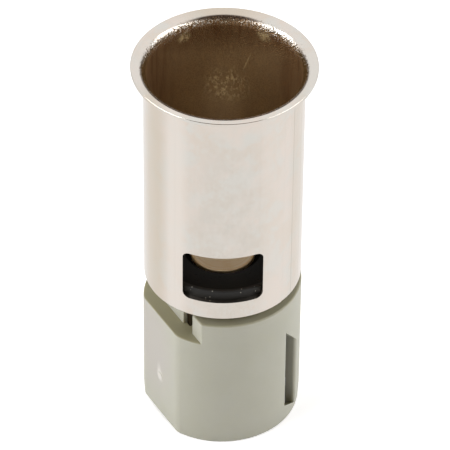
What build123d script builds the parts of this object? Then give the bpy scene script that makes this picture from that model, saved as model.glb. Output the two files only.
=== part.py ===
from build123d import *
import os

# Car 12 V power socket: a plated barrel on a keyed connector housing.
# Millimetres. The origin is the centre of the housing's mouth, on the barrel's axis. +Z runs up to
# the barrel's mouth, and the barrel's windows face -Y and +Y. Angles are degrees about +Z from +X.

# Barrel: drawn sheet metal
bore_diameter = 21.2
barrel_wall = 0.5
barrel_floor = 0.6
barrel_length = 36.45
rim_width = 1.7
throat_radius = 1.67
rim_edge_radius = 0.1
foot_radius = 0.35
seat_step = 0.2
window_width = 11.15
window_height = 8.2
window_sill = 3.1
window_corner_radius = 1.0

# Insulator: moulded disc on the barrel's floor
insulator_height = 3.95
insulator_land = 0.3
insulator_edge_radius = 0.15
dish_drop = 0.85
recess_depth = 1.05
hub_diameter = 6.4
hub_depth = 1.4

# Centre contact: headed stud, clinched under the positive terminal
contact_diameter = 9.2
contact_thickness = 0.7
contact_edge_radius = 0.2
stud_diameter = 3.2
clinch_diameter = 4.0
clinch_height = 0.8

# Spring washer
washer_diameter = 4.5
washer_thickness = 0.4
washer_rise = 0.3

# Terminals: stamped strip
strip_thickness = 0.8
blade_width = 6.3
blade_pitch = 6.7
blade_setback = 3.5
blade_tip_length = 1.2
blade_tip_thickness = 0.3
strip_bend_radius = 0.4
eyelet_margin = 0.65
tab_setback = 0.6
foot_setback = 0.75
foot_length = 5.8
web_shelf = 1.5

# Connector housing: moulded shroud, bulkhead and neck
housing_overhang = 0.11
housing_height = 22.3
barrel_gap = 1.25
shroud_wall = 1.5
bulkhead_thickness = 8.0
neck_inset = 1.85
shoulder_radius = 0.25
mouth_band_height = 2.4
mouth_draft = 2.9
moulded_edge_radius = 0.2
key_angle = 210
key_flat_depth = 1.05
key_corner_radius = 2.4
step_depth = 3.25
step_drop = 3.6
step_corner_radius = 0.3
slot_width = 2.5
slot_depth = 4.3
slot_edge_radius = 0.12
gate_diameter = 1.3
gate_height = 0.05
gate_z = 7.3
lock_angle = 333
lock_width = 2.9
lock_bottom = 2.9
lock_height = 13.8
lock_top_slant = 3.3
lock_bottom_slant = 1.7
lock_draft = 30
lock_edge_radius = 0.4

# Clearances
seat_clearance = 0.05
hub_clearance = 0.1
hub_margin = 0.6
contact_clearance = 0.9
stud_clearance = 0.05
strip_clearance = 0.1
cut_margin = 1.0

# Radii that the pieces share
bore_radius = bore_diameter / 2
barrel_radius = bore_radius + barrel_wall
seat_radius = bore_radius - seat_step
rim_radius = barrel_radius + rim_width
hub_radius = hub_diameter / 2
hub_hole_radius = hub_radius + hub_clearance
contact_radius = contact_diameter / 2
recess_radius = contact_radius + contact_clearance
stud_radius = stud_diameter / 2
stud_hole_radius = stud_radius + stud_clearance
housing_radius = barrel_radius + housing_overhang
neck_radius = housing_radius - neck_inset
cavity_radius = housing_radius - shroud_wall

# Levels that the pieces share, from the housing's mouth up
blade_tip_z = blade_setback
ceiling_z = housing_height - bulkhead_thickness
step_z = housing_height - step_drop
barrel_base_z = housing_height + barrel_gap
barrel_floor_z = barrel_base_z + barrel_floor
rim_z = barrel_base_z + barrel_length
insulator_top_z = barrel_floor_z + insulator_height
recess_top_z = insulator_top_z - dish_drop
contact_seat_z = recess_top_z - recess_depth
strip_bottom_z = ceiling_z - strip_thickness
washer_bottom_z = strip_bottom_z - washer_thickness - washer_rise

# Places in the key frame, where +X points out of the key flat
key_flat_x = housing_radius - key_flat_depth
step_x = housing_radius - step_depth
blade_y = blade_pitch / 2
slit_low_y = blade_y - strip_thickness / 2 - strip_clearance
slit_high_y = blade_y + strip_thickness / 2 + strip_clearance
tab_outer_x = step_x - tab_setback
foot_outer_x = step_x - foot_setback
tab_inner_x = hub_hole_radius + hub_margin
web_bottom_z = ceiling_z + web_shelf
tab_top_z = barrel_base_z - strip_thickness - strip_bend_radius


def turned(outline):
    """The solid that an outline of (radius, height) points makes about the Z axis."""
    return revolve(Plane.XZ * make_face(Polyline(*outline, close=True)), Axis.Z)


def rounded(outline, corners):
    """A face from an outline of points, with a radius at each of the named corners."""
    face = make_face(Polyline(*outline, close=True))
    for point, radius in corners:
        corner = face.vertices().sort_by_distance(Vector(*point))[0]
        face = fillet(corner, radius)
    return face


def block(x_range, y_range, z_range):
    """A box between two limits along each axis."""
    ranges = (x_range, y_range, z_range)
    size = [high - low for low, high in ranges]
    middle = [(high + low) / 2 for low, high in ranges]
    return Pos(*middle) * Box(*size)


def rod(radius, low, high):
    """A cylinder on the Z axis between two levels."""
    return Pos(0, 0, low) * Cylinder(radius, high - low, align=(Align.CENTER, Align.CENTER, Align.MIN))


def keyed(shape):
    """A shape drawn in the key frame, turned to its place."""
    return Rot(0, 0, key_angle) * shape


def d_profile(radius, flat_x, corner_radius):
    """A disc with a flat towards +X and rounded corners at the flat."""
    beyond = radius + cut_margin
    disc = Circle(radius) - Pos(flat_x + beyond / 2, 0) * Rectangle(beyond, 2 * beyond)
    return fillet(disc.vertices().group_by(Axis.X)[-1], corner_radius)


def make_barrel():
    """Drawn shell: floor, wall with a seat for the insulator, flared rim and two windows."""
    foot = (barrel_radius, barrel_base_z)
    neck = (barrel_radius, rim_z - barrel_wall)
    lower_lip = (rim_radius, rim_z - barrel_wall)
    upper_lip = (rim_radius, rim_z)
    throat = (bore_radius, rim_z)
    outline = [
        (hub_hole_radius, barrel_base_z),
        foot,
        neck,
        lower_lip,
        upper_lip,
        throat,
        (bore_radius, insulator_top_z),
        (seat_radius, insulator_top_z),
        (seat_radius, barrel_floor_z),
        (hub_hole_radius, barrel_floor_z),
    ]
    corners = [
        (foot, foot_radius),
        (neck, throat_radius - barrel_wall),
        (lower_lip, rim_edge_radius),
        (upper_lip, rim_edge_radius),
        (throat, throat_radius),
    ]
    shell = revolve(Plane.XZ * rounded(outline, corners), Axis.Z)
    window = RectangleRounded(window_width, window_height, window_corner_radius)
    punch = Plane.XZ * Pos(0, barrel_base_z + window_sill + window_height / 2) * window
    return shell - extrude(punch, barrel_radius + cut_margin, both=True)


def make_insulator():
    """Dished disc with a recess for the contact's head and a hub through the barrel's floor."""
    outer_radius = seat_radius - seat_clearance
    hub_bottom_z = barrel_base_z - hub_depth
    top_edge = (outer_radius, insulator_top_z)
    outline = [
        (stud_hole_radius, hub_bottom_z),
        (hub_radius, hub_bottom_z),
        (hub_radius, barrel_floor_z),
        (outer_radius, barrel_floor_z),
        top_edge,
        (outer_radius - insulator_land, insulator_top_z),
        (recess_radius, recess_top_z),
        (recess_radius, contact_seat_z),
        (stud_hole_radius, contact_seat_z),
    ]
    return revolve(Plane.XZ * rounded(outline, [(top_edge, insulator_edge_radius)]), Axis.Z)


def make_centre_contact():
    """Wide head on a shank whose end is clinched over the spring washer."""
    head_edge = (contact_radius, contact_seat_z + contact_thickness)
    clinch_edge = (clinch_diameter / 2, washer_bottom_z - clinch_height)
    outline = [
        (0, contact_seat_z + contact_thickness),
        head_edge,
        (contact_radius, contact_seat_z),
        (stud_radius, contact_seat_z),
        (stud_radius, washer_bottom_z),
        (clinch_diameter / 2, washer_bottom_z),
        clinch_edge,
        (0, washer_bottom_z - clinch_height),
    ]
    corners = [(head_edge, contact_edge_radius), (clinch_edge, clinch_height / 2)]
    return revolve(Plane.XZ * rounded(outline, corners), Axis.Z)


def make_spring_washer():
    """Cupped washer: its rim presses on the terminal and its eye on the clinched end."""
    rim = washer_diameter / 2
    return turned(
        [
            (stud_hole_radius, washer_bottom_z),
            (stud_hole_radius, washer_bottom_z + washer_thickness),
            (rim, strip_bottom_z),
            (rim, strip_bottom_z - washer_thickness),
        ]
    )


def blade_tip(side_y):
    """What is ground off both faces of a blade's end, at the given place along Y."""
    half = strip_thickness / 2
    land = blade_tip_thickness / 2
    outline = [
        (side_y + half, blade_tip_z + blade_tip_length),
        (side_y + land, blade_tip_z),
        (side_y + half, blade_tip_z),
    ]
    wedge = extrude(Plane.YZ * make_face(Polyline(*outline, close=True)), blade_width, both=True)
    return wedge + mirror(wedge, Plane.XZ.offset(-side_y))


def bent_strip(low_y, bend_y, low_z, top_z, x_range):
    """A strip that runs along Y with its top at top_z, and is bent down at bend_y to low_z.

    bend_y is the outer face of the part that hangs down, on the +Y side of low_y.
    """
    inner_y = bend_y - strip_thickness
    inner_z = top_z - strip_thickness
    outer_corner = (bend_y, top_z)
    inner_corner = (inner_y, inner_z)
    outline = [
        (low_y, top_z),
        outer_corner,
        (bend_y, low_z),
        (inner_y, low_z),
        inner_corner,
        (low_y, inner_z),
    ]
    corners = [
        (outer_corner, strip_bend_radius + strip_thickness),
        (inner_corner, strip_bend_radius),
    ]
    low_x, high_x = x_range
    return extrude(Plane.YZ.offset(low_x) * rounded(outline, corners), high_x - low_x)


def make_positive_terminal():
    """Eyelet strip under the bulkhead, bent down into a blade on the -Y side of the key frame."""
    half_width = blade_width / 2
    eyelet_y = stud_hole_radius + eyelet_margin
    outer_y = blade_y + strip_thickness / 2
    strip = bent_strip(-eyelet_y, outer_y, blade_tip_z, ceiling_z, (-half_width, half_width))
    strip -= rod(stud_hole_radius, strip_bottom_z - cut_margin, ceiling_z + cut_margin)
    strip -= blade_tip(blade_y)
    return keyed(mirror(strip, Plane.XZ))


def make_ground_terminal():
    """Blade on the +Y side of the key frame, with a tab up the slot and a foot under the barrel."""
    half_width = blade_width / 2
    inner_y = blade_y - strip_thickness / 2
    outer_y = blade_y + strip_thickness / 2
    blade = block((-half_width, half_width), (inner_y, outer_y), (blade_tip_z, step_z))
    web = block((-half_width, tab_outer_x), (inner_y, outer_y), (web_bottom_z, step_z))
    tab = block((tab_inner_x, tab_outer_x), (inner_y, outer_y), (web_bottom_z, tab_top_z))
    foot_y = outer_y - foot_length
    foot = bent_strip(foot_y, outer_y, web_bottom_z, barrel_base_z, (tab_inner_x, foot_outer_x))
    return keyed(blade + web + tab + foot - blade_tip(blade_y))


def ground_terminal_room():
    """The slit and pocket that the ground terminal drops into from above."""
    half_width = blade_width / 2 + strip_clearance
    top_z = barrel_base_z + cut_margin
    slit_y = (slit_low_y, slit_high_y)
    blade_slit = block((-half_width, half_width), slit_y, (0, top_z))
    web_slit = block((-half_width, tab_outer_x + strip_clearance), slit_y, (web_bottom_z, top_z))
    foot_y = blade_y + strip_thickness / 2 - foot_length
    foot_x = (tab_inner_x - strip_clearance, foot_outer_x + strip_clearance)
    foot_z = barrel_base_z - strip_thickness
    foot_pocket = block(foot_x, (foot_y - strip_clearance, slit_high_y), (foot_z, top_z))
    bend_y = (slit_low_y - strip_bend_radius, slit_high_y)
    bend_room = block(foot_x, bend_y, (foot_z - strip_bend_radius, top_z))
    return blade_slit + web_slit + foot_pocket + bend_room


def lock_slot():
    """Slanted slot through the shroud's wall towards +X, its sill drafted."""
    half = lock_width / 2
    top_z = lock_bottom + lock_height
    outline = [
        (-half, lock_bottom),
        (half, lock_bottom - lock_bottom_slant),
        (half, top_z - lock_top_slant),
        (-half, top_z),
    ]
    face = Plane.YZ.offset(housing_radius) * make_face(Polyline(*outline, close=True))
    outward = Vector(1, 0, 0).rotate(Axis.Y, -lock_draft)
    depth = shroud_wall + cut_margin
    return extrude(face, depth, both=True) + extrude(face, depth, dir=outward, both=True)


def cut_lock_slot(body):
    """A body with the lock slot cut through its wall, and the slot's long edges rounded outside."""
    turn = Rot(0, 0, lock_angle)
    slotted = turn.inverse() * body - lock_slot()
    middle = Vector(housing_radius, 0, lock_bottom + lock_height / 2)
    long_edges = slotted.edges().filter_by(Axis.Z).sort_by_distance(middle)[:2]
    return turn * fillet(long_edges, lock_edge_radius)


def shroud():
    """The housing up to the step: drafted at its mouth, with a gate mark on the key flat."""
    profile = d_profile(housing_radius, key_flat_x, key_corner_radius)
    wall = Pos(0, 0, mouth_band_height) * extrude(profile, step_z - mouth_band_height)
    wall = fillet(wall.edges().group_by(Axis.Z)[-1], moulded_edge_radius)
    band = Pos(0, 0, mouth_band_height) * extrude(profile, -mouth_band_height, taper=mouth_draft)
    band = fillet(band.edges().group_by(Axis.Z)[0], moulded_edge_radius)
    gate = Plane.YZ.offset(key_flat_x) * Pos(0, gate_z) * Circle(gate_diameter / 2)
    gate = fillet(extrude(gate, gate_height).edges().group_by(Axis.X)[-1], gate_height / 2)
    return wall + band + gate


def shoulder():
    """The housing from the step to the shoulder, cut back behind the key flat, with the tab's slot."""
    profile = d_profile(housing_radius, step_x, step_corner_radius)
    slot_middle = (step_x - slot_depth / 2, slit_low_y + slot_width / 2)
    profile -= Pos(*slot_middle) * Rectangle(slot_depth, slot_width)
    mouth_corners = profile.vertices().group_by(Axis.X)[-1].sort_by(Axis.Y)[1:-1]
    profile = fillet(mouth_corners, slot_edge_radius)
    low_z = step_z - 2 * moulded_edge_radius
    solid = Pos(0, 0, low_z) * extrude(profile, housing_height - low_z)
    return fillet(solid.edges().group_by(Axis.Z)[-1], shoulder_radius)


def neck():
    """The stub that carries the barrel, flush with the cut back flat, with the tab's slot."""
    beyond = neck_radius + cut_margin
    stub = rod(neck_radius, housing_height, barrel_base_z)
    top_z = barrel_base_z + cut_margin
    stub -= block((step_x, step_x + beyond), (-beyond, beyond), (housing_height, top_z))
    slot_x = (step_x - slot_depth, step_x)
    return stub - block(slot_x, (slit_low_y, slit_low_y + slot_width), (housing_height, top_z))


def make_connector_housing():
    """Shroud, bulkhead and neck in one moulding, with the key flat, step, slots and lock slot."""
    top_z = barrel_base_z + cut_margin
    body = shroud() + shoulder() + neck()
    cavity = d_profile(cavity_radius, key_flat_x - shroud_wall, key_corner_radius)
    body -= extrude(cavity, ceiling_z)
    body -= rod(stud_hole_radius, 0, top_z)
    body -= rod(hub_hole_radius, barrel_base_z - hub_depth, top_z)
    body -= ground_terminal_room()
    return cut_lock_slot(keyed(body))


os.makedirs("parts", exist_ok=True)
pieces = {
    "barrel": make_barrel(),
    "insulator": make_insulator(),
    "centre_contact": make_centre_contact(),
    "spring_washer": make_spring_washer(),
    "positive_terminal": make_positive_terminal(),
    "ground_terminal": make_ground_terminal(),
    "connector_housing": make_connector_housing(),
}
for name, piece in pieces.items():
    export_step(piece, f"parts/{name}.step")
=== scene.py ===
import math

import bmesh
import bpy
from bpy.props import FloatProperty, FloatVectorProperty, PointerProperty
from bpy.types import Operator, Panel, PropertyGroup
from mathutils import Matrix, Vector


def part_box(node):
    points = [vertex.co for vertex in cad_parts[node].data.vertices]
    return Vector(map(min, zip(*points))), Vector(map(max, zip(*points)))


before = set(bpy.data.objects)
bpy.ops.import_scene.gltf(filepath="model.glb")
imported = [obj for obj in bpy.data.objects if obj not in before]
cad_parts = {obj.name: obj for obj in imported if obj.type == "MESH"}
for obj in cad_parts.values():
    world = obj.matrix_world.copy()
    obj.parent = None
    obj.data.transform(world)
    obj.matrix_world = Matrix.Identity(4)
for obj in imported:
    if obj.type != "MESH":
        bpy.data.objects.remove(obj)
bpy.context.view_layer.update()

bl_info = {
    "name": "Car 12 V power socket",
    "version": (1, 0, 0),
    "blender": (4, 5, 0),
    "location": "3D View > Sidebar > Power Socket",
    "description": "Gives each piece of the power socket its finish and sets it in a small studio",
    "category": "Material",
}

MM = 0.001
WHITE = (1, 1, 1, 1)


def linear(hex_colour):
    """Turn an sRGB hex value into the linear colour that a shader takes."""
    channels = [int(hex_colour[start:start + 2], 16) / 255 for start in (1, 3, 5)]
    return tuple(c / 12.92 if c <= 0.04045 else ((c + 0.055) / 1.055) ** 2.4 for c in channels)


def colour(name, description, hex_colour):
    """A colour that a user can change."""
    return FloatVectorProperty(
        name=name, description=description, subtype="COLOR", size=3, min=0, max=1,
        default=linear(hex_colour),
    )


def length(name, description, millimetres):
    """A length that a user can change, given here in millimetres."""
    return FloatProperty(
        name=name, description=description, subtype="DISTANCE", unit="LENGTH", min=0, precision=5,
        default=millimetres * MM,
    )


def angle(name, description, degrees):
    """An angle that a user can change, given here in degrees."""
    return FloatProperty(
        name=name, description=description, subtype="ANGLE", unit="ROTATION",
        default=math.radians(degrees),
    )


def share(name, description, value):
    """A number from 0 to 1 that a user can change."""
    return FloatProperty(
        name=name, description=description, subtype="FACTOR", min=0, max=1, default=value,
    )


class BarrelLook(PropertyGroup):
    """Finish of the plated barrel."""

    plate_cream: colour("Plate cream", "Nickel where the plate is thin", "#DED2C6")
    # Also the painted reflection on the rim's sides.
    plate_pearl: colour("Plate pearl", "Nickel at its cleanest", "#DBD7D0")
    plate_pink: colour("Plate pink", "Nickel with a rosy cast", "#E2D6CC")
    # Painted reflection: the greyer middle of the front.
    plate_dim_reflection: colour("Plate dull", "Nickel where handling has dulled it", "#D2CCC3")
    # Painted reflection: the bright bands on the barrel's sides.
    plate_bright_reflection: colour("Plate bright", "Nickel that cloths have polished", "#E9E0D7")
    # Painted reflection: the dimmer beige at the barrel's edges and on the rim's far side.
    plate_beige_reflection: colour("Plate beige", "Nickel that has yellowed", "#D0C4B3")
    # Also the colour of the two painted reflection lines.
    plate_line_and_reflection: colour("Plate line", "Nickel in the marks that the die left", "#B4A998")
    tarnish: colour("Tarnish", "Browned metal inside the barrel", "#C6A97E")
    tarnish_dark: colour("Dark tarnish", "Browned metal in the pits of the grain", "#B2946E")
    # Also painted shade under the mouth, on both flanks and low on the wall.
    tarnish_run_and_shade: colour("Tarnish run", "Dark runs and stains inside the barrel", "#7A5636")
    tarnish_lip: colour("Lip tarnish", "Darkest tarnish, where the plate ends", "#4E3C1E")
    # Also the two painted glints under the mouth.
    tarnish_pale_and_glint: colour("Pale tarnish", "Browned metal that plugs have rubbed", "#FFE8B4")
    # Painted light: the paler bottom of the barrel.
    tarnish_bottom_light: colour("Deep tarnish", "Paler metal at the bottom of the barrel", "#F3E4C4")
    plate_roughness: share("Plate roughness", "How matte the outside is", 0.16)
    tarnish_roughness: share("Tarnish roughness", "How matte the inside is", 0.5)
    tarnish_metal: share("Tarnish metal", "How much metal shows through the tarnish", 0.8)
    cloud_size: length("Cloud size", "Width of the clouds in the plate", 5)
    # Real draw lines and grains are under 0.05 mm. They are drawn coarser here so that they show.
    line_spacing: length("Line spacing", "Distance between the lines left by drawing", 0.5)
    grit_size: length("Grit size", "Width of the grains where the plate thins out", 0.18)
    grit_height: length("Grit height", "How far the grains stand out", 0.16)
    run_width: length("Run width", "Width of the dark runs inside", 0.9)
    fleck_size: length("Fleck size", "Width of the flecks that plugs have rubbed bright", 0.45)
    # Two darker painted reflection lines, each set at an angle about the axis.
    painted_reflection_line: angle("Die mark", "Where the stronger mark of the die runs, about the axis", 329)
    painted_reflection_line_far: angle("Far die mark", "Where the fainter mark of the die runs, about the axis", 341.5)


class HousingLook(PropertyGroup):
    """Finish of the grey connector housing."""

    grey: colour("Grey", "The moulding's own colour", "#BEBDAE")
    pale_grey: colour("Pale grey", "The moulding where it is scuffed", "#C0BFB1")
    # Painted light: the pink cast of the left lamp on the flat.
    flat_lamp_tint: colour("Faded", "The moulding where light has bleached it", "#C1BCB4")
    # Painted shade on the ledges.
    ledge_shade: colour("Grime", "Grease and dust on the ledges", "#938E70")
    gate_white: colour("Gate white", "Stressed plastic at the gate mark", "#DEDAD3")
    roughness: share("Roughness", "How matte the moulding is", 0.5)
    # An eroded mould leaves grains of about 0.03 mm. They are drawn coarser here so that they show.
    grit_size: length("Grit size", "Width of the grains of the eroded mould surface", 0.25)
    grit_height: length("Grit height", "How far the grains stand out", 0.03)
    cloud_size: length("Cloud size", "Width of the uneven patches", 5)
    glow_depth: length("Glow depth", "How far light goes into the plastic", 1.2)


class InsulatorLook(PropertyGroup):
    """Finish of the black insulator."""

    black: colour("Black", "The moulding's own colour", "#161512")
    dust: colour("Dust", "Dust and chips of plate", "#B9B4A8")
    roughness: share("Roughness", "How matte the moulding is", 0.3)
    speck_spacing: length("Speck spacing", "Distance between specks of dust", 0.65)
    # The filler's grains are about 0.05 mm. They are drawn coarser here so that they show.
    grit_size: length("Grit size", "Width of the grains of the filler", 1 / 3)
    grit_height: length("Grit height", "How far the grains stand out", 0.02)


class ContactLook(PropertyGroup):
    """Finish of the centre contact."""

    brass: colour("Brass", "The contact's own colour", "#F6E1BB")
    rubbed: colour("Rubbed brass", "The contact where plugs have rubbed it", "#FFF2D8")
    roughness: share("Roughness", "How matte the contact is", 0.45)
    metal: share("Metal", "How much metal shows through the dull film", 0.6)
    # Turning leaves rings about 0.1 mm apart. They are drawn coarser here so that they show.
    ring_spacing: length("Ring spacing", "Distance between the turning marks", 0.3)
    ring_height: length("Ring height", "How far the turning marks stand out", 0.02)
    cloud_size: length("Cloud size", "Width of the patches that plugs have rubbed", 5 / 3)


class TerminalLook(PropertyGroup):
    """Finishes of the two terminals and the spring washer."""

    tin: colour("Tin", "The tinned faces of the strip", "#6C6963")
    sheared: colour("Sheared brass", "The strip's bare edges", "#4E3A22")
    steel: colour("Spring steel", "The washer's own colour", "#A9A7A3")
    steel_line: colour("Steel line", "The washer's rolling lines", "#8F8D89")
    # Rolling lines are about 0.02 mm apart. They are drawn coarser here so that they show.
    roll_spacing: length("Roll line spacing", "Distance between the rolling lines", 0.2)
    roll_height: length("Roll line height", "How far the rolling lines stand out", 0.02)
    edge_angle: angle("Edge angle", "Which way the strip's sheared edges face, about the axis", 210)


class StageLook(PropertyGroup):
    """Floor, lamps and camera."""

    floor: colour("Floor", "The paper that the socket stands on", "#EDEDED")
    floor_size: length("Floor size", "Width of the sheet of paper", 6000)
    fibre_size: length("Fibre size", "Width of the paper's uneven patches", 2.5)
    front_room: colour("Front room", "The dim room in front of the socket", "#5C533F")
    dark_room: colour("Dark room", "The dark above and behind the camera", "#43352B")
    lamp_left: FloatProperty(
        name="Left lamp", description="Brightness of the soft lamp on the left", min=0, default=5.4,
    )
    lamp_right: FloatProperty(
        name="Right lamp", description="Brightness of the soft lamp on the right", min=0, default=3.0,
    )
    lamp_distance: length("Lamp distance", "From the socket to each lamp", 1000)
    lamp_width: length("Lamp width", "Width of each lamp", 900)
    lamp_left_height: length("Left lamp height", "Height of the left lamp's face", 360)
    lamp_right_height: length("Right lamp height", "Height of the right lamp's face", 450)
    lamp_left_turn: angle("Left lamp turn", "Where the left lamp stands, about the axis", 195)
    lamp_right_turn: angle("Right lamp turn", "Where the right lamp stands, about the axis", -13)
    lamp_rise: angle("Lamp rise", "How high both lamps hang, seen from the socket", 33)
    lamp_aim: length("Lamp aim", "Height of the point on the axis that both lamps face", 30)
    lens: FloatProperty(
        name="Lens", description="Focal length of the camera", subtype="DISTANCE_CAMERA",
        default=313.3,
    )
    camera_stand: FloatVectorProperty(
        name="Camera stand", description="Where the camera is before it turns round the socket",
        subtype="TRANSLATION", unit="LENGTH", size=3, default=(0.29 * MM, -416.6 * MM, 388.52 * MM),
    )
    camera_pitch: angle("Camera pitch", "How far the camera looks down", 40.6)
    camera_turn: angle("Camera turn", "How far the camera stands round to the left", 0.37)
    camera_roll: angle("Camera roll", "How far the camera leans", 0.61)


def add_node(tree, kind, options=None, inputs=()):
    """Add a node, set its options, then fill or link its inputs, by name or in their order."""
    node = tree.nodes.new(kind)
    for option, value in (options or {}).items():
        setattr(node, option, value)
    open_inputs = [socket for socket in node.inputs if socket.enabled]
    by_name = {socket.name: socket for socket in reversed(open_inputs)}
    for key, value in inputs.items() if isinstance(inputs, dict) else enumerate(inputs):
        socket = by_name[key] if isinstance(key, str) else open_inputs[key]
        if isinstance(value, bpy.types.Node):
            value = next(output for output in value.outputs if output.enabled)
        if isinstance(value, bpy.types.NodeSocket):
            tree.links.new(value, socket)
        else:
            socket.default_value = value
    return node


def new_material(name):
    """An empty node material: its node tree, and the material itself."""
    material = bpy.data.materials.new(name)
    material.use_nodes = True
    material.node_tree.nodes.clear()
    return material.node_tree, material


def dress(node, material):
    """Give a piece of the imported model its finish."""
    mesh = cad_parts[node].data
    mesh.materials.clear()
    mesh.materials.append(material)


def soft_spot(tree, place, centre, half_size):
    """A factor of 1 round a centre, fading to 0 at the half size, both given in millimetres."""
    offset = add_node(tree, "ShaderNodeVectorMath", {"operation": "SUBTRACT"},
                      [place, [value * MM for value in centre]])
    scaled = add_node(tree, "ShaderNodeVectorMath", {"operation": "DIVIDE"},
                      [offset, [value * MM for value in half_size]])
    away = add_node(tree, "ShaderNodeVectorMath", {"operation": "LENGTH"}, [scaled])
    return add_node(tree, "ShaderNodeMapRange", {"interpolation_type": "SMOOTHSTEP"},
                    {"Value": away, "From Min": 1.0, "From Max": 0.2})


def plate_edge(tree, place, turned, grit):
    """How bare the metal is: 0 where the plate covers it, 1 in the bore, grainy in between."""
    parts = add_node(tree, "ShaderNodeSeparateXYZ", None, [place]).outputs

    # On the near half the plate ends higher up the throat, and in a cleaner line
    higher = add_node(tree, "ShaderNodeMapRange", {"interpolation_type": "SMOOTHSTEP"},
                      {"Value": parts["Y"], "From Min": 6 * MM, "From Max": -3 * MM, "To Max": -0.36})
    torn = add_node(tree, "ShaderNodeMapRange", {"interpolation_type": "SMOOTHSTEP"},
                    {"Value": parts["Y"], "From Min": -3 * MM, "From Max": 5 * MM, "To Min": 0.25})
    ragged = add_node(tree, "ShaderNodeMath", {"operation": "MULTIPLY_ADD"}, [grit, 1.6, -0.8])
    uneven = add_node(tree, "ShaderNodeMath", {"operation": "MULTIPLY_ADD"}, [ragged, torn, higher])

    # In the straight bore the last specks of plate thin out from the throat's foot down
    straight = add_node(tree, "ShaderNodeMapRange", None,
                        {"Value": turned, "From Min": -0.94, "From Max": -0.99})
    sunk = add_node(tree, "ShaderNodeMapRange", None,
                    {"Value": parts["Z"], "From Min": 58.4 * MM, "From Max": 56 * MM, "To Max": -0.6})
    lower = add_node(tree, "ShaderNodeMath", {"operation": "MULTIPLY_ADD"}, [sunk, straight, uneven])
    edge = add_node(tree, "ShaderNodeMath", {"operation": "ADD"}, [turned, lower])
    thinned = add_node(tree, "ShaderNodeMapRange", {"interpolation_type": "SMOOTHSTEP"},
                       {"Value": edge, "From Min": -0.72, "From Max": -0.92})

    # The middle of the bore has no specks
    sideways = add_node(tree, "ShaderNodeMath", {"operation": "ABSOLUTE"}, [parts["X"]])
    middle = add_node(tree, "ShaderNodeMapRange", None,
                      {"Value": sideways, "From Min": 7 * MM, "From Max": 4 * MM})
    plain_bore = add_node(tree, "ShaderNodeMath", {"operation": "MULTIPLY"}, [straight, middle])
    return add_node(tree, "ShaderNodeMath", {"operation": "MAXIMUM"}, [thinned, plain_bore])


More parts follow.
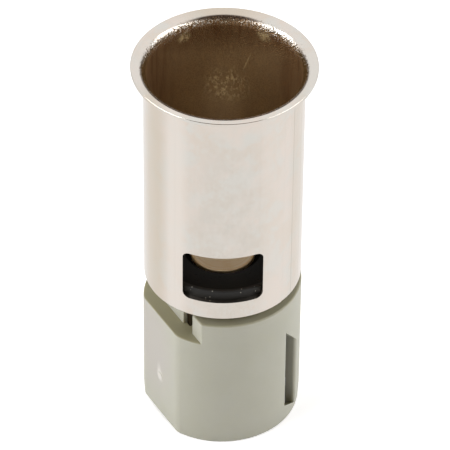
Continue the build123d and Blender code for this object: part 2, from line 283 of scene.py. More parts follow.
def plate_colour(tree, look, place, turned):
    """Colour of the plate, with its clouds, smears, drawing marks and painted reflections."""
    # Clouds of three faint tints, and a painted dim reflection in the middle of the front
    clouds = add_node(tree, "ShaderNodeTexNoise", None,
                      {"Vector": place, "Scale": 1 / look.cloud_size, "Detail": 8.0, "Roughness": 0.65})
    cloudy = add_node(tree, "ShaderNodeMapRange", {"interpolation_type": "SMOOTHSTEP"},
                      {"Value": clouds, "From Min": 0.44, "From Max": 0.56})
    pearly = add_node(tree, "ShaderNodeMix", {"data_type": "RGBA"},
                      {"Factor": cloudy, "A": (*look.plate_cream, 1), "B": (*look.plate_pearl, 1)})
    rose = add_node(tree, "ShaderNodeTexNoise", {"noise_dimensions": "4D"},
                    {"Vector": place, "W": 3.0, "Scale": 1 / look.cloud_size, "Detail": 4.0})
    rosy = add_node(tree, "ShaderNodeMapRange", {"interpolation_type": "SMOOTHSTEP"},
                    {"Value": rose, "From Min": 0.42, "From Max": 0.62})
    tinted = add_node(tree, "ShaderNodeMix", {"data_type": "RGBA"},
                      {"Factor": rosy, "A": pearly, "B": (*look.plate_pink, 1)})
    # Painted reflection: greyer in the middle of the front, where the plate mirrors the dimmer floor near
    # the camera, broken up by the clouds
    front_dim_reflection = soft_spot(tree, place, (0.5, -11, 38), (8.5, 14, 30))
    patchy = add_node(tree, "ShaderNodeMapRange", None,
                      {"Value": clouds, "From Min": 0.6, "From Max": 0.4, "To Min": 0.25, "To Max": 0.9})
    dulled = add_node(tree, "ShaderNodeMath", {"operation": "MULTIPLY"}, [front_dim_reflection, patchy])
    mellow = add_node(tree, "ShaderNodeMix", {"data_type": "RGBA"},
                      {"Factor": dulled, "A": tinted, "B": (*look.plate_dim_reflection, 1)})

    # Fine smears that wiping has left
    wiped = add_node(tree, "ShaderNodeVectorMath", {"operation": "MULTIPLY"}, [place, (1, 1, 0.5)])
    smears = add_node(tree, "ShaderNodeTexNoise", None,
                      {"Vector": wiped, "Scale": 1 / look.line_spacing, "Detail": 3.0, "Distortion": 1.0})
    smeared = add_node(tree, "ShaderNodeMapRange", None,
                       {"Value": smears, "From Min": 0.45, "From Max": 0.7, "To Max": 0.4})
    worn = add_node(tree, "ShaderNodeMix", {"data_type": "RGBA"},
                    {"Factor": smeared, "A": mellow, "B": (*look.plate_pearl, 1)})

    # Painted reflections: a bright band on each side, dimmer beige ones at the edges and on the
    # rim's far side, and pale grey ones on the rim's sides: centre, half size, strength and tint of each
    painted_reflection_bands = (
        ((-6.6, -8.9, 40), (2.2, 7, 60), 0.75, look.plate_bright_reflection),
        ((7.4, -8.3, 40), (3.4, 7, 60), 0.3, look.plate_bright_reflection),
        ((-9.6, -5.5, 40), (2.6, 7, 60), 0.75, look.plate_beige_reflection),
        ((10.2, -4.4, 40), (1.6, 7, 60), 0.4, look.plate_beige_reflection),
        ((0, 12.6, 60), (11, 4, 4), 0.8, look.plate_beige_reflection),
        ((12.4, -2, 60), (3, 10, 3), 0.8, look.plate_pearl),
        ((-12.4, -2, 60), (3, 10, 3), 0.5, look.plate_pearl),
    )
    for centre, half_size, strength, tint in painted_reflection_bands:
        band = soft_spot(tree, place, centre, half_size)
        faint = add_node(tree, "ShaderNodeMath", {"operation": "MULTIPLY"}, [band, strength])
        worn = add_node(tree, "ShaderNodeMix", {"data_type": "RGBA"},
                        {"Factor": faint, "A": worn, "B": (*tint, 1)})

    # Marks along the draw, fine ones all round, and two painted reflection lines
    parts = add_node(tree, "ShaderNodeSeparateXYZ", None, [place]).outputs
    azimuth = add_node(tree, "ShaderNodeMath", {"operation": "ARCTAN2"}, [parts["Y"], parts["X"]])
    rim_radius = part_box("barrel")[1][0]
    arc = add_node(tree, "ShaderNodeMath", {"operation": "MULTIPLY"}, [azimuth, rim_radius])
    drawn = add_node(tree, "ShaderNodeTexNoise", {"noise_dimensions": "1D"},
                     {"W": arc, "Scale": 1 / look.line_spacing, "Detail": 2.0})
    marked = add_node(tree, "ShaderNodeMapRange", None,
                      {"Value": drawn, "From Min": 0.6, "From Max": 0.8, "To Max": 0.04})
    for mark, strength in ((look.painted_reflection_line, 0.3), (look.painted_reflection_line_far, 0.15)):
        off = add_node(tree, "ShaderNodeMath", {"operation": "SUBTRACT"}, [azimuth, mark - 2 * math.pi])
        gap = add_node(tree, "ShaderNodeMath", {"operation": "ABSOLUTE"}, [off])
        line = add_node(tree, "ShaderNodeMapRange", {"interpolation_type": "SMOOTHSTEP"},
                        {"Value": gap, "From Min": 0.018, "From Max": 0.002, "To Max": strength})
        marked = add_node(tree, "ShaderNodeMath", {"operation": "MAXIMUM"}, [marked, line])
    outside = add_node(tree, "ShaderNodeMapRange", None,
                       {"Value": turned, "From Min": 0.6, "From Max": 0.9})
    drawn_and_reflected_lines = add_node(tree, "ShaderNodeMath", {"operation": "MULTIPLY"}, [marked, outside])
    return add_node(tree, "ShaderNodeMix", {"data_type": "RGBA"},
                    {"Factor": drawn_and_reflected_lines, "A": worn, "B": (*look.plate_line_and_reflection, 1)})


def tarnish_colour(tree, look, place, turned, grit):
    """Bare metal inside: grains, runs, scuffs, dark lip, painted shade, painted glints, painted light."""
    parts = add_node(tree, "ShaderNodeSeparateXYZ", None, [place]).outputs
    sideways = add_node(tree, "ShaderNodeMath", {"operation": "ABSOLUTE"}, [parts["X"]])
    grains = add_node(tree, "ShaderNodeMapRange", None,
                      {"Value": grit, "From Min": 0.35, "From Max": 0.6})
    brown = add_node(tree, "ShaderNodeMix", {"data_type": "RGBA"},
                     {"Factor": grains, "A": (*look.tarnish_dark, 1), "B": (*look.tarnish, 1)})

    # Painted shade under the mouth, on both flanks and low on the wall, streaked with upright runs
    tall = add_node(tree, "ShaderNodeVectorMath", {"operation": "MULTIPLY"}, [place, (1, 1, 0.15)])
    runs = add_node(tree, "ShaderNodeTexNoise", None,
                    {"Vector": tall, "Scale": 1 / look.run_width, "Detail": 3.0})
    streaks = add_node(tree, "ShaderNodeMapRange", {"interpolation_type": "SMOOTHSTEP"},
                       {"Value": runs, "From Min": 0.4, "From Max": 0.7, "To Min": 0.75})
    mouth_shade = add_node(tree, "ShaderNodeMapRange", {"interpolation_type": "SMOOTHSTEP"},
                           {"Value": parts["Z"], "From Min": 53 * MM, "From Max": 58 * MM,
                            "To Max": 0.85})
    low_wall = add_node(tree, "ShaderNodeMapRange", {"interpolation_type": "SMOOTHSTEP"},
                        {"Value": parts["Z"], "From Min": 47 * MM, "From Max": 42 * MM,
                         "To Max": 0.35})
    flank_shade = add_node(tree, "ShaderNodeMapRange", {"interpolation_type": "SMOOTHSTEP"},
                      {"Value": sideways, "From Min": 4 * MM, "From Max": 10 * MM, "To Max": 0.85})
    ends = add_node(tree, "ShaderNodeMath", {"operation": "MAXIMUM"}, [mouth_shade, low_wall])
    painted_shade = add_node(tree, "ShaderNodeMath", {"operation": "MAXIMUM"}, [ends, flank_shade])
    # Painted shade, in streaks along the runs
    run = add_node(tree, "ShaderNodeMath", {"operation": "MULTIPLY"}, [streaks, painted_shade])
    runs_and_shade = add_node(tree, "ShaderNodeMix", {"data_type": "RGBA"},
                       {"Factor": run, "A": brown, "B": (*look.tarnish_run_and_shade, 1)})

    # Painted light: the metal turns paler towards the bottom of the barrel, which the contact mirrors
    deep = add_node(tree, "ShaderNodeMapRange", {"interpolation_type": "SMOOTHSTEP"},
                    {"Value": parts["Z"], "From Min": 41 * MM, "From Max": 38 * MM})
    paler = add_node(tree, "ShaderNodeMix", {"data_type": "RGBA"},
                     {"Factor": deep, "A": runs_and_shade, "B": (*look.tarnish_bottom_light, 1)})

    # Bright flecks: a patch that plugs have rubbed on the far wall, and two painted glints under the
    # mouth
    upright = add_node(tree, "ShaderNodeVectorMath", {"operation": "MULTIPLY"}, [place, (1, 1, 0.6)])
    flecks = add_node(tree, "ShaderNodeTexNoise", None,
                      {"Vector": upright, "Scale": 1 / look.fleck_size, "Detail": 5.0, "Roughness": 0.7})
    dense = add_node(tree, "ShaderNodeMapRange", None,
                     {"Value": flecks, "From Min": 0.5, "From Max": 0.6})
    patch = soft_spot(tree, place, (0.3, 10.6, 48.4), (4.4, 4, 4.0))
    rubbed = add_node(tree, "ShaderNodeMath", {"operation": "MULTIPLY"}, [patch, dense])
    sparse = add_node(tree, "ShaderNodeMapRange", None,
                      {"Value": flecks, "From Min": 0.4, "From Max": 0.62})
    # The two painted glints under the mouth
    for centre in ((-5.56, 9.03, 57.6), (5.44, 9.1, 57.9)):
        spot = soft_spot(tree, place, centre, (1.3, 2, 1.3))
        glint = add_node(tree, "ShaderNodeMath", {"operation": "MULTIPLY"}, [spot, sparse])
        rubbed = add_node(tree, "ShaderNodeMath", {"operation": "MAXIMUM"}, [rubbed, glint])

    # One slanted scratch above the patch
    scratch_middle = (3.1, 10.1, 52.4)
    slanted = add_node(tree, "ShaderNodeVectorRotate", {"rotation_type": "Y_AXIS"},
                       {"Vector": place, "Center": [value * MM for value in scratch_middle],
                        "Angle": math.radians(-18.6)})
    scratch = soft_spot(tree, slanted, scratch_middle, (0.16, 2, 2.2))
    cut = add_node(tree, "ShaderNodeMath", {"operation": "MULTIPLY"}, [scratch, 0.6])
    rubbed = add_node(tree, "ShaderNodeMath", {"operation": "MAXIMUM"}, [rubbed, cut])
    scuffed = add_node(tree, "ShaderNodeMix", {"data_type": "RGBA"},
                       {"Factor": rubbed, "A": paler, "B": (*look.tarnish_pale_and_glint, 1)})

    # Dark grains on the throat's round, most of them on its sides
    round_lip = add_node(tree, "ShaderNodeMapRange", {"interpolation_type": "SMOOTHSTEP"},
                         {"Value": turned, "From Min": -1.0, "From Max": -0.85})
    aside = add_node(tree, "ShaderNodeMapRange", None,
                     {"Value": sideways, "From Min": 3 * MM, "From Max": 7 * MM, "To Min": 0.2})
    lip_side = add_node(tree, "ShaderNodeMath", {"operation": "MULTIPLY"}, [round_lip, aside])
    peppered = add_node(tree, "ShaderNodeMapRange", None,
                        {"Value": grit, "From Min": 0.62, "From Max": 0.45, "To Min": 0.4})
    pepper = add_node(tree, "ShaderNodeMath", {"operation": "MULTIPLY"}, [lip_side, peppered])
    return add_node(tree, "ShaderNodeMix", {"data_type": "RGBA"},
                    {"Factor": pepper, "A": scuffed, "B": (*look.tarnish_lip, 1)})


def throat_grain(tree, look, place, turned, grit):
    """Grains that stand out in the foot of the throat, most of all on its far side."""
    parts = add_node(tree, "ShaderNodeSeparateXYZ", None, [place]).outputs
    throat = add_node(tree, "ShaderNodeMapRange", {"interpolation_type": "SMOOTHSTEP"},
                      {"Value": turned, "From Min": -0.6, "From Max": -1.0, "To Min": 0.01})
    upper = add_node(tree, "ShaderNodeMapRange", {"interpolation_type": "SMOOTHSTEP"},
                     {"Value": parts["Z"], "From Min": 52 * MM, "From Max": 58 * MM, "To Min": 0.06})
    far_side = add_node(tree, "ShaderNodeMapRange", {"interpolation_type": "SMOOTHSTEP"},
                        {"Value": parts["Y"], "From Min": 1 * MM, "From Max": 6 * MM, "To Min": 0.1})
    mouth = add_node(tree, "ShaderNodeMath", {"operation": "MULTIPLY"}, [throat, upper])
    roughened = add_node(tree, "ShaderNodeMath", {"operation": "MULTIPLY"}, [mouth, far_side])
    return add_node(tree, "ShaderNodeBump", None,
                    {"Strength": roughened, "Distance": look.grit_height, "Height": grit})


def bright_nickel(look):
    """Bright nickel plate on a deep drawn steel shell."""
    # To the eye: outside a warm mirror, faintly clouded, with marks along the draw and painted
    # reflections. Nickel hardly reaches into a deep shell, so the mouth turns grainy, and the inside
    # dull and brown, with painted shade, painted glints and painted light.
    tree, material = new_material("Bright nickel on drawn steel")
    place = add_node(tree, "ShaderNodeTexCoord").outputs["Object"]
    facing = add_node(tree, "ShaderNodeNewGeometry").outputs["Normal"]

    # How far a surface faces away from the axis: 1 outside, 0 on the rim, -1 inside
    across = add_node(tree, "ShaderNodeVectorMath", {"operation": "MULTIPLY"}, [place, (1, 1, 0)])
    outward = add_node(tree, "ShaderNodeVectorMath", {"operation": "NORMALIZE"}, [across])
    turned = add_node(tree, "ShaderNodeVectorMath", {"operation": "DOT_PRODUCT"}, [facing, outward])

    grit = add_node(tree, "ShaderNodeTexNoise", None,
                    {"Vector": place, "Scale": 1 / look.grit_size, "Detail": 2.0})
    bare = plate_edge(tree, place, turned, grit)
    plate = plate_colour(tree, look, place, turned)
    tarnish = tarnish_colour(tree, look, place, turned, grit)
    skin = add_node(tree, "ShaderNodeMix", {"data_type": "RGBA"},
                    {"Factor": bare, "A": plate, "B": tarnish})
    matte = add_node(tree, "ShaderNodeMapRange", None,
                     {"Value": bare, "To Min": look.plate_roughness, "To Max": look.tarnish_roughness})
    metal = add_node(tree, "ShaderNodeMapRange", None,
                     {"Value": bare, "To Min": 1.0, "To Max": look.tarnish_metal})
    # Tarnish loses the pale edge that clean metal shows at a slant
    slant = add_node(tree, "ShaderNodeMix", {"data_type": "RGBA"},
                     {"Factor": bare, "A": WHITE, "B": (*look.tarnish_dark, 1)})
    grain = throat_grain(tree, look, place, turned, grit)
    shader = add_node(tree, "ShaderNodeBsdfPrincipled", None,
                      {"Base Color": skin, "Metallic": metal, "Roughness": matte, "Specular Tint": slant,
                       "Normal": grain})
    add_node(tree, "ShaderNodeOutputMaterial", None, {"Surface": shader})
    return material


def grey_moulding(look):
    """Grey filled polyester, moulded in an eroded mould."""
    # To the eye: matte and even, with a fine grain, faint clouds, a painted pink cast of lamp light
    # on the flat, painted shade on the ledges, and a white spot where the gate broke off.
    tree, material = new_material("Grey polyester, fine matte moulding")
    place = add_node(tree, "ShaderNodeTexCoord").outputs["Object"]
    clouds = add_node(tree, "ShaderNodeTexNoise", None,
                      {"Vector": place, "Scale": 1 / look.cloud_size, "Detail": 4.0})
    cloudy = add_node(tree, "ShaderNodeMapRange", {"interpolation_type": "SMOOTHSTEP"},
                      {"Value": clouds, "From Min": 0.35, "From Max": 0.65})
    clean = add_node(tree, "ShaderNodeMix", {"data_type": "RGBA"},
                     {"Factor": cloudy, "A": (*look.grey, 1), "B": (*look.pale_grey, 1)})
    # Painted light: a pink cast of the left lamp on the left flat
    lamp_tinted = soft_spot(tree, place, (-10, -3.5, 12), (6, 9, 13))
    with_lamp_tint = add_node(tree, "ShaderNodeMix", {"data_type": "RGBA"},
                         {"Factor": lamp_tinted, "A": clean, "B": (*look.flat_lamp_tint, 1)})

    # The gate mark, and the paler trail above it
    gate = soft_spot(tree, place, (-8.8, -5.08, 7.4), (1.1, 1.1, 1.4))
    trail = soft_spot(tree, place, (-8.95, -4.85, 8.1), (0.8, 0.8, 2.0))
    white = add_node(tree, "ShaderNodeMath", {"operation": "MULTIPLY_ADD"}, [trail, 0.6, gate])
    marked = add_node(tree, "ShaderNodeMix", {"data_type": "RGBA", "clamp_factor": True},
                      {"Factor": white, "A": with_lamp_tint, "B": (*look.gate_white, 1)})

    # Painted shade on what faces up, lighter on the upper ledge
    facing = add_node(tree, "ShaderNodeNewGeometry").outputs["Normal"]
    upward = add_node(tree, "ShaderNodeVectorMath", {"operation": "DOT_PRODUCT"}, [facing, (0, 0, 1)])
    ledge = add_node(tree, "ShaderNodeMapRange", {"interpolation_type": "SMOOTHSTEP"},
                     {"Value": upward, "From Min": 0.1, "From Max": 0.9})
    height = add_node(tree, "ShaderNodeSeparateXYZ", None, [place]).outputs["Z"]
    less_shade_above = add_node(tree, "ShaderNodeMapRange", None,
                       {"Value": height, "From Min": 18 * MM, "From Max": 22 * MM,
                        "To Min": 1.0, "To Max": 0.7})
    ledge_shading = add_node(tree, "ShaderNodeMath", {"operation": "MULTIPLY"}, [ledge, less_shade_above])
    skin = add_node(tree, "ShaderNodeMix", {"data_type": "RGBA"},
                    {"Factor": ledge_shading, "A": marked, "B": (*look.ledge_shade, 1)})

    grit = add_node(tree, "ShaderNodeTexNoise", None,
                    {"Vector": place, "Scale": 1 / look.grit_size, "Detail": 2.0})
    matte = add_node(tree, "ShaderNodeMapRange", None,
                     {"Value": grit, "To Min": look.roughness - 0.06, "To Max": look.roughness + 0.06})
    bump = add_node(tree, "ShaderNodeBump", None,
                    {"Strength": 0.25, "Distance": look.grit_height, "Height": grit})
    shader = add_node(tree, "ShaderNodeBsdfPrincipled", None,
                      {"Base Color": skin, "Roughness": matte, "IOR": 1.57, "Normal": bump,
                       "Subsurface Weight": 0.3, "Subsurface Radius": (1, 0.9, 0.6),
                       "Subsurface Scale": look.glow_depth})
    add_node(tree, "ShaderNodeOutputMaterial", None, {"Surface": shader})
    return material


def black_moulding(look):
    """Black phenolic moulding."""
    # To the eye: a near black dish with hardly any sheen, and a satin outer edge that has caught
    # dust and chips of plate.
    tree, material = new_material("Black phenolic, satin moulding")
    place = add_node(tree, "ShaderNodeTexCoord").outputs["Object"]
    across = add_node(tree, "ShaderNodeVectorMath", {"operation": "MULTIPLY"}, [place, (1, 1, 0)])
    radius = add_node(tree, "ShaderNodeVectorMath", {"operation": "LENGTH"}, [across])
    specks = add_node(tree, "ShaderNodeTexVoronoi", None,
                      {"Vector": place, "Scale": 1 / look.speck_spacing})
    speck = add_node(tree, "ShaderNodeMapRange", None,
                     {"Value": specks.outputs["Distance"], "From Min": 0.12, "From Max": 0.07})
    outer_edge = add_node(tree, "ShaderNodeMapRange", None,
                          {"Value": radius, "From Min": 9.9 * MM, "From Max": 10.1 * MM})
    dusty = add_node(tree, "ShaderNodeMath", {"operation": "MULTIPLY"}, [speck, outer_edge])
    skin = add_node(tree, "ShaderNodeMix", {"data_type": "RGBA"},
                    {"Factor": dusty, "A": (*look.black, 1), "B": (*look.dust, 1)})
    dish_sheen = add_node(tree, "ShaderNodeMapRange", None,
                          {"Value": radius, "From Min": 5.4 * MM, "From Max": 5.7 * MM, "To Max": 0.05})
    edge_sheen = add_node(tree, "ShaderNodeMapRange", None,
                          {"Value": radius, "From Min": 9.6 * MM, "From Max": 10.0 * MM, "To Max": 0.42})
    sheen = add_node(tree, "ShaderNodeMath", {"operation": "MAXIMUM"}, [dish_sheen, edge_sheen])
    grit = add_node(tree, "ShaderNodeTexNoise", None,
                    {"Vector": place, "Scale": 1 / look.grit_size, "Detail": 2.0})
    satin = add_node(tree, "ShaderNodeMapRange", None,
                     {"Value": grit, "To Min": look.roughness - 0.08, "To Max": look.roughness + 0.08})
    matte = add_node(tree, "ShaderNodeMath", {"operation": "MULTIPLY_ADD"}, [edge_sheen, 0.6, satin])
    bump = add_node(tree, "ShaderNodeBump", None,
                    {"Strength": 0.1, "Distance": look.grit_height, "Height": grit})
    shader = add_node(tree, "ShaderNodeBsdfPrincipled", None,
                      {"Base Color": skin, "Roughness": matte, "IOR": 1.5,
                       "Specular IOR Level": sheen, "Normal": bump})
    add_node(tree, "ShaderNodeOutputMaterial", None, {"Surface": shader})
    return material


def dull_brass(look):
    """Turned brass, dulled by age and rubbed by plugs."""
    # To the eye: a soft tan sheen under a dull film, with faint rings and paler rubbed patches.
    tree, material = new_material("Turned brass, dulled")
    place = add_node(tree, "ShaderNodeTexCoord").outputs["Object"]
    across = add_node(tree, "ShaderNodeVectorMath", {"operation": "MULTIPLY"}, [place, (1, 1, 0)])
    radius = add_node(tree, "ShaderNodeVectorMath", {"operation": "LENGTH"}, [across])
    rings = add_node(tree, "ShaderNodeTexNoise", {"noise_dimensions": "1D"},
                     {"W": radius, "Scale": 1 / look.ring_spacing, "Detail": 2.0})
    clouds = add_node(tree, "ShaderNodeTexNoise", None,
                      {"Vector": place, "Scale": 1 / look.cloud_size, "Detail": 4.0})
    worn = add_node(tree, "ShaderNodeMath", {"operation": "MULTIPLY"}, [rings, clouds])
    rubbed = add_node(tree, "ShaderNodeMapRange", None,
                      {"Value": worn, "From Min": 0.15, "From Max": 0.4})
    skin = add_node(tree, "ShaderNodeMix", {"data_type": "RGBA"},
                    {"Factor": rubbed, "A": (*look.brass, 1), "B": (*look.rubbed, 1)})
    matte = add_node(tree, "ShaderNodeMapRange", None,
                     {"Value": clouds, "To Min": look.roughness - 0.08, "To Max": look.roughness + 0.08})
    bump = add_node(tree, "ShaderNodeBump", None,
                    {"Strength": 0.15, "Distance": look.ring_height, "Height": rings})
    shader = add_node(tree, "ShaderNodeBsdfPrincipled", None,
                      {"Base Color": skin, "Metallic": look.metal, "Roughness": matte, "Normal": bump})
    add_node(tree, "ShaderNodeOutputMaterial", None, {"Surface": shader})
    return material


def tinned_strip(look):
    """Tinned brass strip, rolled and sheared."""
    # To the eye: grey faces with upright rolling lines, and bare brown brass on the sheared edges.
    tree, material = new_material("Tinned brass strip, sheared")
    place = add_node(tree, "ShaderNodeTexCoord").outputs["Object"]
    lines = add_node(tree, "ShaderNodeVectorMath", {"operation": "MULTIPLY"}, [place, (1, 1, 0.04)])
    rolled = add_node(tree, "ShaderNodeTexNoise", None,
                      {"Vector": lines, "Scale": 1 / look.roll_spacing, "Detail": 3.0})
    facing = add_node(tree, "ShaderNodeNewGeometry").outputs["Normal"]
    edgeways = (math.cos(look.edge_angle), math.sin(look.edge_angle), 0)
    towards = add_node(tree, "ShaderNodeVectorMath", {"operation": "DOT_PRODUCT"}, [facing, edgeways])
    either_way = add_node(tree, "ShaderNodeMath", {"operation": "ABSOLUTE"}, [towards])
    sheared = add_node(tree, "ShaderNodeMapRange", None,
                       {"Value": either_way, "From Min": 0.5, "From Max": 0.8})
    skin = add_node(tree, "ShaderNodeMix", {"data_type": "RGBA"},
                    {"Factor": sheared, "A": (*look.tin, 1), "B": (*look.sheared, 1)})
    matte = add_node(tree, "ShaderNodeMapRange", None, {"Value": rolled, "To Min": 0.22, "To Max": 0.42})
    bump = add_node(tree, "ShaderNodeBump", None,
                    {"Strength": 0.1, "Distance": look.roll_height, "Height": rolled})
    shader = add_node(tree, "ShaderNodeBsdfPrincipled", None,
                      {"Base Color": skin, "Metallic": 1.0, "Roughness": matte, "Normal": bump})
    add_node(tree, "ShaderNodeOutputMaterial", None, {"Surface": shader})
    return material


def spring_steel(look):
    """Spring steel, rolled and oiled."""
    # To the eye: plain grey metal with fine lines along the roll.
    tree, material = new_material("Spring steel, rolled and oiled")
    place = add_node(tree, "ShaderNodeTexCoord").outputs["Object"]
    lines = add_node(tree, "ShaderNodeVectorMath", {"operation": "MULTIPLY"}, [place, (1, 0.05, 1)])
    rolled = add_node(tree, "ShaderNodeTexNoise", None,
                      {"Vector": lines, "Scale": 1 / look.roll_spacing, "Detail": 2.0})
    skin = add_node(tree, "ShaderNodeMix", {"data_type": "RGBA"},
                    {"Factor": rolled, "A": (*look.steel, 1), "B": (*look.steel_line, 1)})
    matte = add_node(tree, "ShaderNodeMapRange", None, {"Value": rolled, "To Min": 0.28, "To Max": 0.45})
    shader = add_node(tree, "ShaderNodeBsdfPrincipled", None,
                      {"Base Color": skin, "Metallic": 1.0, "Roughness": matte})
    add_node(tree, "ShaderNodeOutputMaterial", None, {"Surface": shader})
    return material


def white_paper(look):
    """Uncoated white paper."""
    # To the eye: a plain matte sheet, lifted to white for the camera and for reflections. Under the
    # socket, up to about 10 mm from its axis, it isn't lifted and stays in the dark.
    tree, material = new_material("White studio paper")
    place = add_node(tree, "ShaderNodeTexCoord").outputs["Object"]
    fibres = add_node(tree, "ShaderNodeTexNoise", None, {"Vector": place, "Scale": 1 / look.fibre_size})
    matte = add_node(tree, "ShaderNodeMapRange", None, {"Value": fibres, "To Min": 0.9, "To Max": 1.0})
    paper = add_node(tree, "ShaderNodeBsdfDiffuse", None,
                     {"Color": (*look.floor, 1), "Roughness": matte})
    away = add_node(tree, "ShaderNodeVectorMath", {"operation": "LENGTH"}, [place])
    open_paper = add_node(tree, "ShaderNodeMapRange", {"interpolation_type": "SMOOTHSTEP"},
                          {"Value": away, "From Min": 9 * MM, "From Max": 11 * MM})
    ray = add_node(tree, "ShaderNodeLightPath").outputs
    lift = add_node(tree, "ShaderNodeMath", {"operation": "MULTIPLY"}, [ray["Is Camera Ray"], 0.5])
    strength = add_node(tree, "ShaderNodeMath", {"operation": "MULTIPLY"}, [lift, open_paper])
    glow = add_node(tree, "ShaderNodeEmission", None, {"Strength": strength})
    lit = add_node(tree, "ShaderNodeAddShader", None, [paper, glow])
    mirrored = add_node(tree, "ShaderNodeMath", {"operation": "MAXIMUM"},
                        [ray["Is Glossy Ray"], ray["Is Transmission Ray"]])
    plain = add_node(tree, "ShaderNodeMath", {"operation": "MULTIPLY"}, [mirrored, open_paper])
    white = add_node(tree, "ShaderNodeEmission", None, {"Strength": 1.0})
    both = add_node(tree, "ShaderNodeMixShader", None, [plain, lit, white])
    add_node(tree, "ShaderNodeOutputMaterial", None, {"Surface": both})
    return material


class SOCKET_OT_barrel(Operator):
    """Plate the barrel"""

    bl_idname = "power_socket.barrel"
    bl_label = "Plate the Barrel"

    def execute(self, context):
        dress("barrel", bright_nickel(context.scene.barrel_look))
        return {"FINISHED"}


class SOCKET_OT_housing(Operator):
    """Finish the grey connector housing"""

    bl_idname = "power_socket.housing"
    bl_label = "Mould the Housing"

    def execute(self, context):
        dress("connector_housing", grey_moulding(context.scene.housing_look))
        return {"FINISHED"}


class SOCKET_OT_insulator(Operator):
    """Finish the black insulator"""

    bl_idname = "power_socket.insulator"
    bl_label = "Mould the Insulator"

    def execute(self, context):
        dress("insulator", black_moulding(context.scene.insulator_look))
        return {"FINISHED"}


class SOCKET_OT_contact(Operator):
    """Finish the centre contact"""

    bl_idname = "power_socket.contact"
    bl_label = "Turn the Contact"

    def execute(self, context):
        dress("centre_contact", dull_brass(context.scene.contact_look))
        return {"FINISHED"}


class SOCKET_OT_terminals(Operator):
    """Finish the two terminals and the spring washer"""

    bl_idname = "power_socket.terminals"
    bl_label = "Stamp the Terminals"

    def execute(self, context):
        look = context.scene.terminal_look
        strip = tinned_strip(look)
        dress("positive_terminal", strip)
        dress("ground_terminal", strip)
        dress("spring_washer", spring_steel(look))
        return {"FINISHED"}


def lay_floor(look):
    """A wide sheet of paper at the height that the socket stands on."""
    half = look.floor_size / 2
    mesh = bpy.data.meshes.new("floor")
    shape = bmesh.new()
    corners = [(-half, -half, 0), (half, -half, 0), (half, half, 0), (-half, half, 0)]
    shape.faces.new([shape.verts.new(corner) for corner in corners])
    shape.to_mesh(mesh)
    shape.free()
    mesh.materials.append(white_paper(look))
    floor = bpy.data.objects.new("floor", mesh)
    bpy.context.scene.collection.objects.link(floor)


def hang_lamp(name, look, brightness, face_height, turn):
    """A soft box that faces the middle of the socket."""
    data = bpy.data.lights.new(name, "AREA")
    data.shape = "RECTANGLE"
    data.size = look.lamp_width
    data.size_y = face_height
    data.energy = brightness * math.pi * data.size * data.size_y
    rise = look.lamp_rise
    towards = Vector((math.cos(rise) * math.cos(turn), math.cos(rise) * math.sin(turn), math.sin(rise)))
    lamp = bpy.data.objects.new(name, data)
    lamp.location = towards * look.lamp_distance + Vector((0, 0, look.lamp_aim))
    lamp.rotation_mode = "QUATERNION"
    lamp.rotation_quaternion = towards.to_track_quat("Z", "Y")
    bpy.context.scene.collection.objects.link(lamp)


def light_room(look):
    """White walls behind, a dim room in front, and the dark above and behind the camera."""
    world = bpy.data.worlds.new("studio")
    world.use_nodes = True
    tree = world.node_tree
    tree.nodes.clear()
    direction = add_node(tree, "ShaderNodeTexCoord").outputs["Generated"]

    # White walls, and a dim room in front with its middle a little to the right
    front = (0.15, -0.99, 0)
    frontward = add_node(tree, "ShaderNodeVectorMath", {"operation": "DOT_PRODUCT"}, [direction, front])
    dim = add_node(tree, "ShaderNodeMapRange", {"interpolation_type": "SMOOTHSTEP"},
                   {"Value": frontward, "From Min": 0.1, "From Max": 0.7})
    walls = add_node(tree, "ShaderNodeMix", {"data_type": "RGBA"},
                     {"Factor": dim, "A": WHITE, "B": (*look.front_room, 1)})

    # A dark skirting low at the back, which the sides of the throat mirror
    level = add_node(tree, "ShaderNodeVectorMath", {"operation": "DOT_PRODUCT"}, [direction, (0, 0, 1)])
    low = add_node(tree, "ShaderNodeMapRange", {"interpolation_type": "SMOOTHSTEP"},
                   {"Value": level, "From Min": 0.33, "From Max": 0.25})
    behind = add_node(tree, "ShaderNodeMapRange", {"interpolation_type": "SMOOTHSTEP"},
                      {"Value": frontward, "From Min": -0.2, "From Max": -0.7})
    skirting = add_node(tree, "ShaderNodeMath", {"operation": "MULTIPLY"}, [low, behind])
    lower = add_node(tree, "ShaderNodeMix", {"data_type": "RGBA"},
                     {"Factor": skirting, "A": walls, "B": (*look.dark_room, 1)})

    # A wide dark place above the camera, which the far throat mirrors
    dark_rise = math.radians(59)
    dark_middle = (0, -math.cos(dark_rise), math.sin(dark_rise))
    dark_inner = math.cos(math.radians(18))
    dark_outer = math.cos(math.radians(29))
    narrowed = add_node(tree, "ShaderNodeVectorMath", {"operation": "MULTIPLY"}, [direction, (0.7, 1, 1)])
    wide = add_node(tree, "ShaderNodeVectorMath", {"operation": "NORMALIZE"}, [narrowed])
    towards = add_node(tree, "ShaderNodeVectorMath", {"operation": "DOT_PRODUCT"}, [wide, dark_middle])
    shade = add_node(tree, "ShaderNodeMapRange", {"interpolation_type": "SMOOTHSTEP"},
                     {"Value": towards, "From Min": dark_outer, "From Max": dark_inner})
    room = add_node(tree, "ShaderNodeMix", {"data_type": "RGBA"},
                    {"Factor": shade, "A": lower, "B": (*look.dark_room, 1)})

    ray = add_node(tree, "ShaderNodeLightPath").outputs
    seen = add_node(tree, "ShaderNodeMix", {"data_type": "RGBA"},
                    {"Factor": ray["Is Camera Ray"], "A": room, "B": WHITE})
    background = add_node(tree, "ShaderNodeBackground", None, {"Color": seen})
    add_node(tree, "ShaderNodeOutputWorld", None, {"Surface": background})
    bpy.context.scene.world = world


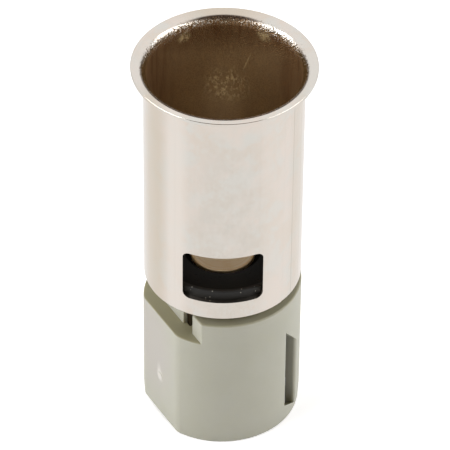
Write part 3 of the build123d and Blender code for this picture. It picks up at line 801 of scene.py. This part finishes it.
def place_camera(look):
    """A camera at the photograph's viewing angle, fitted to the socket's edges."""
    data = bpy.data.cameras.new("camera")
    data.sensor_width = 36
    data.lens = look.lens
    data.clip_end = 20
    pitch = look.camera_pitch
    roll = look.camera_roll
    forward = Vector((0, math.cos(pitch), -math.sin(pitch)))
    level = Vector((1, 0, 0))
    down = Vector((0, -math.sin(pitch), -math.cos(pitch)))
    right = math.cos(roll) * level - math.sin(roll) * down
    below = math.sin(roll) * level + math.cos(roll) * down
    axes = Matrix((right, -below, -forward)).transposed().to_4x4()
    stand = Matrix.Translation(look.camera_stand) @ axes
    camera = bpy.data.objects.new("camera", data)
    camera.matrix_world = Matrix.Rotation(-look.camera_turn, 4, "Z") @ stand
    bpy.context.scene.collection.objects.link(camera)
    bpy.context.scene.camera = camera


class SOCKET_OT_stage(Operator):
    """Lay the floor, hang the lamps and place the camera"""

    bl_idname = "power_socket.stage"
    bl_label = "Set the Stage"

    def execute(self, context):
        look = context.scene.stage_look
        lay_floor(look)
        hang_lamp("lamp_right", look, look.lamp_right, look.lamp_right_height, look.lamp_right_turn)
        hang_lamp("lamp_left", look, look.lamp_left, look.lamp_left_height, look.lamp_left_turn)
        light_room(look)
        place_camera(look)
        context.scene.view_settings.view_transform = "Standard"
        return {"FINISHED"}


STEPS = (
    (SOCKET_OT_barrel, "barrel_look", BarrelLook),
    (SOCKET_OT_housing, "housing_look", HousingLook),
    (SOCKET_OT_insulator, "insulator_look", InsulatorLook),
    (SOCKET_OT_contact, "contact_look", ContactLook),
    (SOCKET_OT_terminals, "terminal_look", TerminalLook),
    (SOCKET_OT_stage, "stage_look", StageLook),
)


class SOCKET_PT_sidebar(Panel):
    """Every piece with its finish"""

    bl_idname = "SOCKET_PT_sidebar"
    bl_label = "Power Socket"
    bl_space_type = "VIEW_3D"
    bl_region_type = "UI"
    bl_category = "Power Socket"

    def draw(self, context):
        for operator, look_name, look_type in STEPS:
            box = self.layout.box()
            box.operator(operator.bl_idname)
            for setting in look_type.__annotations__:
                box.prop(getattr(context.scene, look_name), setting)


def register():
    for operator, look_name, look_type in STEPS:
        bpy.utils.register_class(look_type)
        setattr(bpy.types.Scene, look_name, PointerProperty(type=look_type))
        bpy.utils.register_class(operator)
    bpy.utils.register_class(SOCKET_PT_sidebar)


def unregister():
    bpy.utils.unregister_class(SOCKET_PT_sidebar)
    for operator, look_name, look_type in reversed(STEPS):
        bpy.utils.unregister_class(operator)
        delattr(bpy.types.Scene, look_name)
        bpy.utils.unregister_class(look_type)


def main():
    register()
    bpy.ops.power_socket.barrel()
    bpy.ops.power_socket.housing()
    bpy.ops.power_socket.insulator()
    bpy.ops.power_socket.contact()
    bpy.ops.power_socket.terminals()
    bpy.ops.power_socket.stage()


if __name__ == "__main__":
    main()
